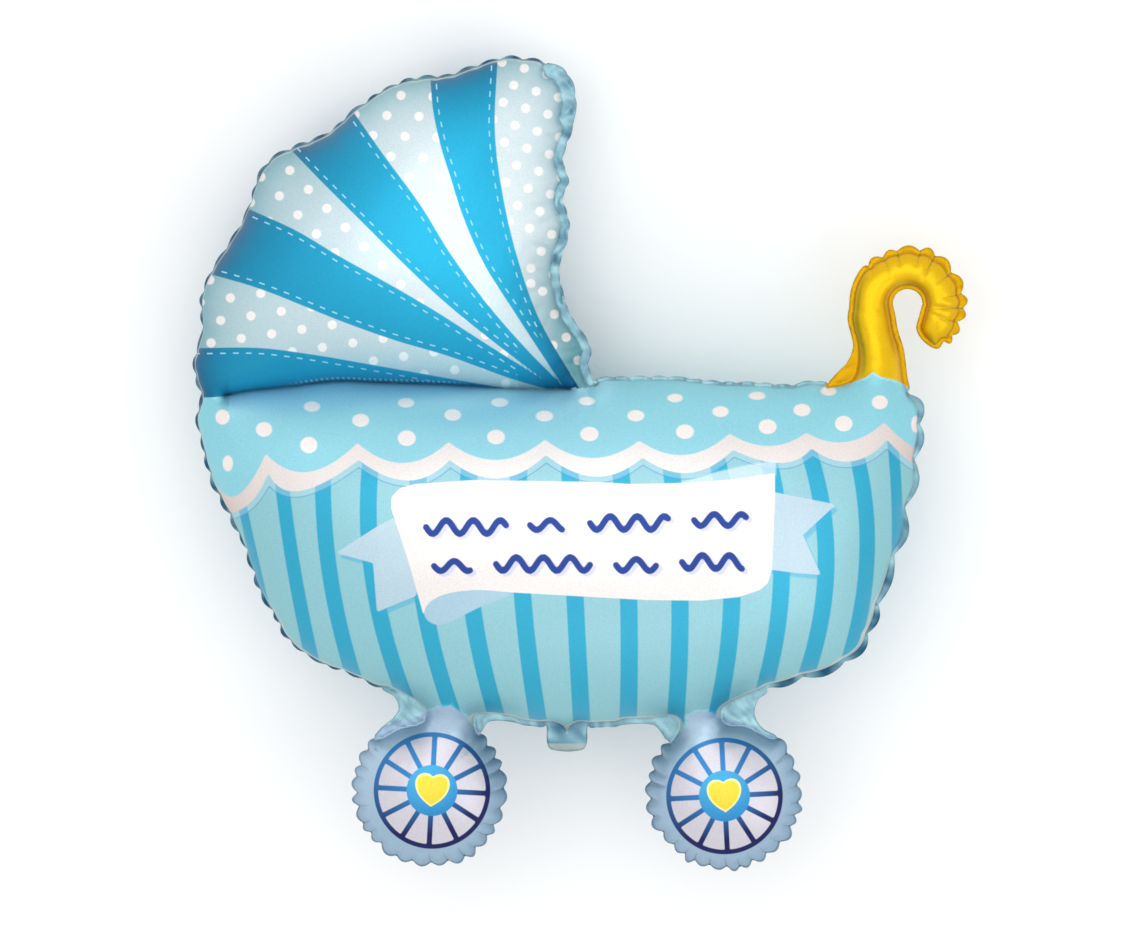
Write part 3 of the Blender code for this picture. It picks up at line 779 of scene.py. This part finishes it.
def tubPrint(q):
    s = scallops
    upper = scallopLine(s["upperStart"], s["upperCusps"], s["upperDips"], s["upperEnd"])
    lower = scallopLine(s["lowerStart"], s["lowerCusps"], s["lowerDips"], s["lowerEnd"])
    corners = np.array([(960.0, 200.0), (160.0, 200.0)])
    rim = signedDistance(q, np.vstack([upper, corners]))
    band = signedDistance(q, np.vstack([lower, corners]))
    stripe = np.full(len(q), farOff)
    low, mid, high = tubStripes["at"]
    y = q[:, 1]
    for (a, b, c), half in zip(tubStripes["middles"], tubStripes["halves"]):
        middle = (a * (y - mid) * (y - high) / ((low - mid) * (low - high))
                  + b * (y - low) * (y - high) / ((mid - low) * (mid - high))
                  + c * (y - low) * (y - mid) / ((high - low) * (high - mid)))
        stripe = np.minimum(stripe, np.abs(q[:, 0] - middle) - half)
    return rim, band, stripe


def strokeField(q):
    out = np.full(len(q), farOff)
    for row in strokes["rows"]:
        for start, end, height, swing in row:
            x = np.linspace(start, end, 34)
            line = np.column_stack([x, height + swing * np.sin(2 * math.pi * (x - start) / strokes["swing"])])
            out = np.minimum(out, nearestOn(q, line, closed=False)[0] - strokes["half"])
    return out


def wheelPrint(q):
    # Ring with spokes, hub and heart, each as a distance from its edge, and painted light: lighter round towards the
    # light side and in towards the hub
    lines, hub, heart = (np.full(len(q), farOff) for _ in range(3))
    light = np.zeros(len(q))
    for side in ("left", "right"):
        local = q - np.array(rims[side])
        r = np.hypot(local[:, 0], local[:, 1])
        here = r < 90
        turn = np.arctan2(-local[:, 1], local[:, 0])
        lean = math.radians(rims[side + "Lean"])
        sector = 2 * math.pi / rims["spokes"]
        off = (turn - lean + sector / 2) % sector - sector / 2
        spoke = np.maximum(np.abs(r * np.sin(off)) - rims["spokeHalf"], r - rims["ring"])
        ring = np.abs(r - rims["ring"]) - rims["ringHalf"]
        lines = np.where(here, np.minimum(ring, spoke), lines)
        hub = np.where(here, r - rims["hub"], hub)
        # Heart: the curve (x^2 + y^2 - 1)^3 = x^2 y^3 made into a rough distance
        size = rims["heart"] / 1.16
        leaned = lean * 1.5
        hx = (local[:, 0] * math.cos(leaned) - local[:, 1] * math.sin(leaned)) / size
        hy = -(local[:, 0] * math.sin(leaned) + local[:, 1] * math.cos(leaned)) / size + 0.12
        level = np.cbrt(hx**2 * hy**3)
        heart = np.where(here, (hx**2 + hy**2 - 1 - level) * size / 2.2, heart)
        facing = local @ np.array(rims["lightFrom"]) / rims["ring"]
        light = np.where(here, np.clip(0.5 + 0.5 * facing - 0.35 * (r - 30) / 30, 0, 1), light)
    return lines, hub, heart, light


# Where the gold and the silver film begin: loops on the sheet
goldLoop = ((826, 389), (840, 386), (852, 382.5), (866, 377.5), (873, 372), (881, 377), (895, 380), (905, 385),
            (914, 393), (1000, 400), (1000, 200), (826, 200))
foilLoops = (
    ((330, 735), (380, 727), (395, 722), (417, 717), (436, 708), (451, 705), (463, 714), (474, 727), (483, 731),
     (500, 740), (540, 780), (540, 900), (330, 900)),
    ((610, 780), (650, 738), (666, 743), (677, 736), (687, 726), (688, 716), (700, 711), (713, 713), (718, 718),
     (735, 720), (754, 728), (767, 734), (830, 745), (830, 900), (610, 900)),
)
wheelsFrom = 742.0              # below this height on the sheet is only wheel
# Painted shade on the flange added to its stretch's own: more on the tub's lower right, the share of it that the
# notches keep, random speckles
shading = {"lowRight": 0.45, "notches": 0.4, "speckles": 0.16}
inkStop = {"low": 3.6, "dark": 1.5, "none": 2.0}   # bare film inside the seam: tub's underside, edges where the flange's painted shade is dark, rest
# Painted highlights on the pillows, and painted shade where the strength is below nought: place, half width, half
# height, strength
hoodHighlightPatches = ((490, 225, 85, 110, 0.34), (420, 250, 90, 80, 0.2), (420, 130, 90, 50, 0.2), (545, 160, 36, 140, 0.35),
               (572, 360, 34, 60, -0.22))
tubHighlightPatches = ((600, 470, 210, 55, 0.34), (640, 620, 150, 40, 0.25), (800, 560, 60, 70, 0.2))


def patchLight(flat, patches):
    # Bells exp(-(x / width)^2 - (y / height)^2) added up
    x, y = flat.T
    return sum(strength * np.exp(-((x - px) / wide) ** 2 - ((y - py) / high) ** 2)
               for px, py, wide, high, strength in patches)


def gradeAndPaintedLightField(flat, gap, fields):
    # How light the print is laid, from 0 beside the seam to 1 in the middle of a pillow: the print's own grading with
    # painted shade towards the seam and painted highlights over it
    away = np.maximum(gap, 0)
    # Painted light along the crease under the hood, where the valley would be in shade
    weldPaintedLight = np.exp(-((fields["hoodArea"] - 4) / 16) ** 2) * (flat[:, 0] > 230)
    # Hood and tub: lighter away from the seam, partly print grading and partly painted shade at the edges, plus
    # painted highlight patches
    hoodGradeAndLight = 0.6 * (1 - np.exp(-away / 24)) + 0.25 * weldPaintedLight * (flat[:, 0] < 520) + patchLight(flat, hoodHighlightPatches)
    tubGradeAndLight = 0.42 * (1 - np.exp(-away / 26)) + 0.9 * weldPaintedLight + patchLight(flat, tubHighlightPatches)
    gradeAndPaintedLight = np.where(fields["hoodArea"] < 0, hoodGradeAndLight, tubGradeAndLight)
    # Wheel foil: painted light on the side facing the light, painted shade towards the seam
    wheelPaintedLight = np.clip(fields["discPaintedLight"], 0, 1) * 0.55 + 0.55 * smoothstep(-4, 12, gap)
    gradeAndPaintedLight = np.where(fields["wheelFoil"] < 2, wheelPaintedLight, gradeAndPaintedLight)
    # Gold: painted shade on its flange and painted highlight on the pillow
    return np.clip(np.where(fields["gold"] < 2, smoothstep(-3, 9, gap), gradeAndPaintedLight), 0, 1)


def pleatFields(points):
    # The deep folds as thin lines: distance across the nearest, which changes sign from one to the next, and how dark
    # the painted shade in it is
    pleat, dark = np.full(len(points), 12.0), np.zeros(len(points))
    for start, inward, length, depth, side in creases:
        run, off, here = alongCrease(points, start, inward, length)
        here &= np.abs(off) < np.minimum(12, np.abs(pleat))
        pleat[here] = off[here] * side
        fade = (1 - np.maximum(run, 0) / length) * (1 - smoothstep(5, 9, np.abs(off)))
        dark[here] = (np.clip(3.2 * depth, 0, 1) * fade)[here]
    return pleat, dark


def filmPrint(film, isFront):
    # Every printed field of one film. Most are distances in millimetres, below nought inside the shape
    flat, gap, near = toSheet(film["flat"]), film["gap"], film["near"]
    q = printPlaces(layDown(film["place"])) if isFront else flat
    fields = {}
    weldDown = toSheet(weld)[::6]
    hoodLoop = np.vstack([[(150.0, 402.0)], weldDown, [(600.0, 385.0), (600.0, 20.0), (150.0, 20.0)]])
    hoodArea = fields["hoodArea"] = signedDistance(flat, hoodLoop)
    stripe, depth, along, room = hoodPrint(q)
    fields["hoodStripe"] = np.maximum(stripe, hoodArea)
    fields["rim"], fields["band"], fields["tubStripe"] = tubPrint(q)
    fields["gold"] = signedDistance(q, goldLoop)
    fields["wheelFoil"] = np.minimum(*(signedDistance(q, loop) for loop in foilLoops))
    fields["wheelLines"], fields["hub"], fields["heart"], fields["discPaintedLight"] = wheelPrint(q)
    onTab = (q[:, 0] > tab["left"] - tab["clear"]) & (q[:, 0] < tab["right"] + tab["clear"])
    fields["tab"] = np.where(onTab, tab["silverTop"] - q[:, 1], farOff)
    if isFront:
        # Ink stops short of the seam: by a hair round the hood and the tub's left, by more along its underside
        tubSide = smoothstep(-20, 20, hoodArea) * (flat[:, 1] < wheelsFrom)
        lowSide = smoothstep(540, 640, flat[:, 1]) * tubSide * (np.abs(flat[:, 0] - 577) < 340)
        darkSide = smoothstep(0.6, 0.8, near["flangeShade"]) * (flat[:, 1] < wheelsFrom)
        short = np.maximum(inkStop["low"] * lowSide, inkStop["dark"] * darkSide)
        fields["bare"] = gap - short + inkStop["none"] * (lowSide + darkSide < 0.05)
        fields["stitchDepth"] = np.where(hoodArea < -2.5, depth, 90)
        fields["stitchAlong"], fields["stitchRoom"] = along, room
        fields["hoodDot"], fields["rimDot"] = hoodDotField(q), rimDotField(q)
        for name in ("banner", "paintedGleam"):
            fields[name] = signedDistance(q, banner[name])
        fields["fold"] = signedDistance(q, spline(banner["fold"], 4))
        for name, move in (("tails", (0, 0)), ("tailShade", banner["tailShade"])):
            fields[name] = np.minimum(*(signedDistance(q - np.array(move), banner[side])
                                        for side in ("leftTail", "rightTail")))
        fields["strokes"] = strokeField(q)
        fields["strokeShade"] = strokeField(q - np.array(strokes["shade"]))
        weldGap, fields["weldAlong"] = nearestOn(flat, weldDown, closed=False)
        fields["weldDepth"] = np.where(hoodArea < 0, weldGap, 90)
    fields["gradeAndPaintedLight"] = gradeAndPaintedLightField(flat, gap, fields)
    fields["flange"] = gap
    # Painted shade on the flange: darkest on lobes that lean back, more on the tub's lower right, less at the notches,
    # with random speckles
    lowRight = shading["lowRight"] * smoothstep(500, 620, flat[:, 1]) * (flat[:, 0] > 770)
    kept = shading["notches"]
    flangeShade = (near["flangeShade"] + lowRight) * (kept + (1 - kept) * smoothstep(0.35, 0.95, near["lobe"]))
    fields["flangeShade"] = np.clip(flangeShade + shading["speckles"] * ripples(film["flat"], 12, 30, 21), 0, 1)
    fields["pleat"], fields["pleatDark"] = pleatFields(film["flat"])
    # Bare foil shines, printed film is satin
    shine = np.where(gap < 0, 0.75, 0.0) + 0.5 * smoothstep(2, -2, fields["wheelFoil"]) * (gap > 0)
    shine = np.maximum(shine, smoothstep(1.5, -1.5, fields["gold"]))
    webs = (flat[:, 1] > 690) & (gap < -1) & (fields["tab"] > 30)
    fields["shine"] = np.clip(np.where(webs, 1.0, shine), 0, 1)
    return fields


frontPrint = filmPrint(front, True)
backPrint = filmPrint(back, False)
notPrinted = np.full(len(back["flat"]), farOff)

print("scene: mesh")
mesh = bpy.data.meshes.new("foilBalloon")
mesh.from_pydata(allPlaces.tolist(), [], allFaces.tolist())
mesh.polygons.foreach_set("use_smooth", np.ones(len(mesh.polygons), bool))
for name, values in frontPrint.items():
    both = np.concatenate([values, backPrint.get(name, notPrinted)])
    mesh.attributes.new(name, "FLOAT", "POINT").data.foreach_set("value", both.astype(np.float32))
balloon = bpy.data.objects.new("foilBalloon", mesh)
bpy.context.scene.collection.objects.link(balloon)
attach(balloon, "root")
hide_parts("balloon")
print("scene: balloon", len(allFaces), "triangles")


def hexColour(code):
    # sRGB hex to linear: each channel c is c/12.92 below 0.04045, else ((c + 0.055) / 1.055) ^ 2.4
    channels = [int(code[k:k + 2], 16) / 255 for k in (1, 3, 5)]
    return tuple(c / 12.92 if c <= 0.04045 else ((c + 0.055) / 1.055) ** 2.4 for c in channels) + (1.0,)


def addNode(tree, kind, settings=None, **inputs):
    # A node with its settings; an input named after its socket or s0, s1... is a value or another node's socket
    made = tree.nodes.new(kind)
    for name, value in (settings or {}).items():
        setattr(made, name, value)
    for name, value in inputs.items():
        socket = made.inputs[int(name[1:])] if name[0] == "s" and name[1:].isdigit() else made.inputs[name]
        if isinstance(value, bpy.types.NodeSocket):
            tree.links.new(value, socket)
        else:
            socket.default_value = value
    return made


# Printed metallised film: a satin ink over aluminium gives a pearly, soft-edged shine; bare foil is a mirror
foil = bpy.data.materials.new("printedMetallisedFilm")
foil.use_nodes = True
tree = foil.node_tree
shader = tree.nodes["Principled BSDF"]
fieldOut = {name: addNode(tree, "ShaderNodeAttribute", {"attribute_name": name}).outputs["Fac"]
            for name in frontPrint}


def layColour(under, guide, dark, light, *ramps):
    # Lays a colour, dark where its guide field is 0 and light where it is 1, as strongly as its ramps multiplied.
    # Each ramp is a value, two limits for it and the strengths there
    strength = 1.0
    for value, low, high, atLow, atHigh in ramps:
        ramp = addNode(tree, "ShaderNodeMapRange", None, s0=value, s1=low, s2=high, s3=atLow, s4=atHigh)
        strength = addNode(tree, "ShaderNodeMath", {"operation": "MULTIPLY"}, s0=strength,
                           s1=ramp.outputs[0]).outputs[0]
    ink = addNode(tree, "ShaderNodeMix", {"data_type": "RGBA"}, s0=fieldOut[guide], s6=hexColour(dark),
                  s7=hexColour(light))
    return addNode(tree, "ShaderNodeMix", {"data_type": "RGBA"}, s0=strength, s6=under,
                   s7=ink.outputs[2]).outputs[2]


# Inks and bare parts in the order they are laid: field, its edge and how soft that is in mm, cover, the guide to
# the colour, the colour where that is 0 and where it is 1
# Most colours go from dark to light with the print's grading and also with painted shade at the seam and painted
# highlights on the pillows
ground = (("tubStripe", 0, 0.6, 1.0, "gradeAndPaintedLight", "#2397b6", "#45bbde"),)
inks = (
    ("band", 0, 0.5, 1.0, "gradeAndPaintedLight", "#c9b6af", "#feffff"),
    ("rim", 0, 0.5, 1.0, "gradeAndPaintedLight", "#84c8d4", "#a2dcec"),
    ("rimDot", 0, 0.6, 1.0, "gradeAndPaintedLight", "#e9ddd8", "#fbf8f6"),
    # The painted highlight by the banner
    ("paintedGleam", 0, 1.2, 0.6, "gradeAndPaintedLight", "#cfe8f2", "#e9f6fb"),
    ("tailShade", 0, 0.8, 0.5, "gradeAndPaintedLight", "#2ba6cc", "#3fb4dc"),
    ("tails", 0, 0.5, 0.92, "gradeAndPaintedLight", "#abc6d3", "#d2e0ea"),
    ("banner", 0, 0.5, 1.0, "gradeAndPaintedLight", "#e2dad6", "#f6f4f4"),
    ("fold", 0, 0.6, 1.0, "gradeAndPaintedLight", "#8fb9cf", "#c3dbe6"),
    ("strokeShade", 0, 0.7, 0.9, "gradeAndPaintedLight", "#c9cdf0", "#d3d6f3"),
    ("strokes", 0, 0.5, 1.0, "gradeAndPaintedLight", "#27408c", "#2f4c9b"),
    ("hoodArea", 0, 0.4, 1.0, "gradeAndPaintedLight", "#6aa0aa", "#deebf0"),
    ("hoodDot", 0, 0.6, 0.9, "gradeAndPaintedLight", "#e6dcd9", "#fffefe"),
    ("hoodStripe", 0, 0.5, 1.0, "gradeAndPaintedLight", "#004c74", "#28b3dc"),
)
# Bare film, flange and tab go darker with the flange's painted shade; wheel foil and gold follow the painted light
metals = (
    ("bare", 0, 0.4, 0.8, "flangeShade", "#c3cdc8", "#b4bdb7"),
    ("flange", 0, 0.3, 1.0, "flangeShade", "#9cc6cf", "#1c5878"),
    ("wheelFoil", 0, 0.7, 1.0, "gradeAndPaintedLight", "#7797b0", "#b4ccdf"),
    ("gold", 0, 0.5, 1.0, "gradeAndPaintedLight", "#cc9a08", "#e6ba16"),
    ("tab", 0, 0.6, 0.9, "flangeShade", "#a9b5b2", "#94a3a2"),
)
# Pale sectors inside the ring, dark ring and spokes, blue hub, yellow heart with a paler edge; all but the sectors
# painted lighter towards one side and the hub as painted light
discs = (
    ("hub", 30.4, 0.6, 1.0, "gradeAndPaintedLight", "#cfccd5", "#cfccd5"),
    ("wheelLines", 0, 0.4, 1.0, "discPaintedLight", "#22265c", "#3f93d4"),
    ("hub", 0, 0.4, 1.0, "discPaintedLight", "#1c6db6", "#4fb0dc"),
    ("heart", 0, 0.4, 1.0, "discPaintedLight", "#f3e77a", "#fbf3a6"),
    ("heart", -1.5, 0.6, 1.0, "discPaintedLight", "#e6bc20", "#eedb4e"),
)


def layAll(under, layers):
    for name, at, soft, cover, guide, dark, light in layers:
        under = layColour(under, guide, dark, light, (fieldOut[name], at - soft, at + soft, cover, 0.0))
    return under


colour = layAll(layColour(hexColour("#7fb9c0"), "gradeAndPaintedLight", "#7fb9c0", "#a8d8e4"), ground)
# Under the scalloped band a pale see-through shade that ends in a thin blue line
shadeEnd = scallops["shade"]
for start, end, tint, cover in ((0, shadeEnd, "#c4dff0", 0.28),
                                (shadeEnd, shadeEnd + scallops["hairline"], "#4a9fcb", 0.6)):
    colour = layColour(colour, "gradeAndPaintedLight", tint, tint, (fieldOut["band"], start - 0.4, start + 0.4, 0.0, 1.0),
                       (fieldOut["band"], end - 0.4, end + 0.4, cover, 0.0))
colour = layAll(colour, inks)
# Dashed lines: the stitches drawn inside the hood stripes and the row of weld points above the crease
weldPoints = {"inset": 3.2, "half": 1.5, "period": 5.3, "dash": 0.45, "from": 62.0, "to": 246.0, "fade": 25.0}
first, last, fade = weldPoints["from"], weldPoints["to"], weldPoints["fade"]
stitchEnds = ((fieldOut["stitchRoom"], -0.5, 0.5, 0.0, 1.0),)
weldEnds = ((fieldOut["weldAlong"], first, first + fade, 0.0, 1.0),
            (fieldOut["weldAlong"], last - fade, last, 1.0, 0.0))
for kind, facts, tint, ends in (("stitch", stitching, "#9fd8ec", stitchEnds),
                                ("weld", weldPoints, "#a9dcef", weldEnds)):
    half, dashEnd = facts["half"], facts["period"] / 2 * facts["dash"]
    offset = addNode(tree, "ShaderNodeMath", {"operation": "SUBTRACT"}, s0=fieldOut[kind + "Depth"], s1=facts["inset"])
    away = addNode(tree, "ShaderNodeMath", {"operation": "ABSOLUTE"}, s0=offset.outputs[0])
    beat = addNode(tree, "ShaderNodeMath", {"operation": "PINGPONG"}, s0=fieldOut[kind + "Along"],
                   s1=facts["period"] / 2)
    colour = layColour(colour, "gradeAndPaintedLight", tint, tint, (away.outputs[0], half - 0.4, half + 0.4, 1.0, 0.0),
                       (beat.outputs[0], dashEnd - 0.3, dashEnd + 0.3, 1.0, 0.0), *ends)
colour = layAll(colour, metals)
# Painted shade in the puckers that are too narrow for the mesh, drawn as thin dark lines
pleatSide = addNode(tree, "ShaderNodeMath", {"operation": "ABSOLUTE"}, s0=fieldOut["pleat"])
colour = layColour(colour, "gradeAndPaintedLight", "#3d4a4e", "#3d4a4e", (pleatSide.outputs[0], 0.25, 0.75, 0.75, 0.0),
                   (fieldOut["pleatDark"], 0.0, 1.0, 0.0, 1.0))
colour = layAll(colour, discs)
# Dot screen of the print: specks about 1.5 mm, drawn coarser than the real 0.3 mm so that they show
place = addNode(tree, "ShaderNodeTexCoord").outputs["Object"]
specks = addNode(tree, "ShaderNodeTexNoise", None, Vector=place, Scale=650.0, Detail=2.0)
speckRange = addNode(tree, "ShaderNodeMapRange", None, s0=specks.outputs["Fac"], s1=0.3, s2=0.7, s3=0.93, s4=1.05)
graded = addNode(tree, "ShaderNodeMix", {"data_type": "RGBA", "blend_type": "MULTIPLY"}, s0=1.0, s6=colour,
                 s7=speckRange.outputs[0])
tree.links.new(graded.outputs[2], shader.inputs["Base Color"])
for name, satin, bright in (("Metallic", 0.5, 0.8), ("Roughness", 0.46, 0.36)):
    ramp = addNode(tree, "ShaderNodeMapRange", None, s0=fieldOut["shine"], s3=satin, s4=bright)
    tree.links.new(ramp.outputs[0], shader.inputs[name])
shader.inputs["Specular IOR Level"].default_value = 0.25
# Fine crinkle of thin film, about 4 mm
crinkle = addNode(tree, "ShaderNodeTexNoise", None, Vector=place, Scale=240.0, Detail=3.0)
bump = addNode(tree, "ShaderNodeBump", None, Strength=0.12, Distance=0.0006, Height=crinkle.outputs["Fac"])
tree.links.new(bump.outputs["Normal"], shader.inputs["Normal"])
mesh.materials.append(foil)

print("scene: studio")
studio = {
    "floorHalf": 9.0, "paper": "#fbfbfb", "paperRoughness": 0.95, "air": 0.98, "sensor": 36.0,
    "lampsAim": (0.0, 0.0, 0.1),
    "lamps": (
        {"name": "keyBox", "spot": (-0.3, 0.9, 2.6), "size": (2.8, 2.4), "power": 17},
        {"name": "fillBox", "spot": (1.7, -0.6, 2.2), "size": (1.8, 1.8), "power": 7},
    ),
}
scene = bpy.context.scene
floorMesh = bpy.data.meshes.new("floor")
half = studio["floorHalf"]
floorMesh.from_pydata([(-half, -half, 0), (half, -half, 0), (half, half, 0), (-half, half, 0)], [], [(0, 1, 2, 3)])
floor = bpy.data.objects.new("floor", floorMesh)
scene.collection.objects.link(floor)
# Seamless paper: matt and even, so the floor stays plain
paper = bpy.data.materials.new("seamlessPaper")
paper.use_nodes = True
paperShader = paper.node_tree.nodes["Principled BSDF"]
paperShader.inputs["Base Color"].default_value = hexColour(studio["paper"])
paperShader.inputs["Roughness"].default_value = studio["paperRoughness"]
floorMesh.materials.append(paper)

cameraData = bpy.data.cameras.new("studioCamera")
camera = bpy.data.objects.new("studioCamera", cameraData)
scene.collection.objects.link(camera)
cameraData.sensor_width = studio["sensor"]
cameraData.lens = studio["sensor"] * view["distance"] / (view["width"] * mm)
cameraData.clip_start, cameraData.clip_end = 0.1, 30
rows = [(cameraRight[k], cameraUp[k], toCamera[k], cameraPlace[k]) for k in range(3)]
camera.matrix_world = Matrix(rows + [(0, 0, 0, 1)])
scene.camera = camera

for lamp in studio["lamps"]:
    light = bpy.data.lights.new(lamp["name"], "AREA")
    light.shape = "RECTANGLE"
    light.size, light.size_y = lamp["size"]
    light.energy = lamp["power"]
    box = bpy.data.objects.new(lamp["name"], light)
    box.location = lamp["spot"]
    box.rotation_euler = (Vector(lamp["spot"]) - Vector(studio["lampsAim"])).to_track_quat("Z", "Y").to_euler()
    scene.collection.objects.link(box)
world = bpy.data.worlds.new("studioAir")
scene.world = world
world.use_nodes = True
world.node_tree.nodes["Background"].inputs["Color"].default_value = (1.0, 1.0, 1.0, 1.0)
world.node_tree.nodes["Background"].inputs["Strength"].default_value = studio["air"]
scene.view_settings.view_transform = "Standard"
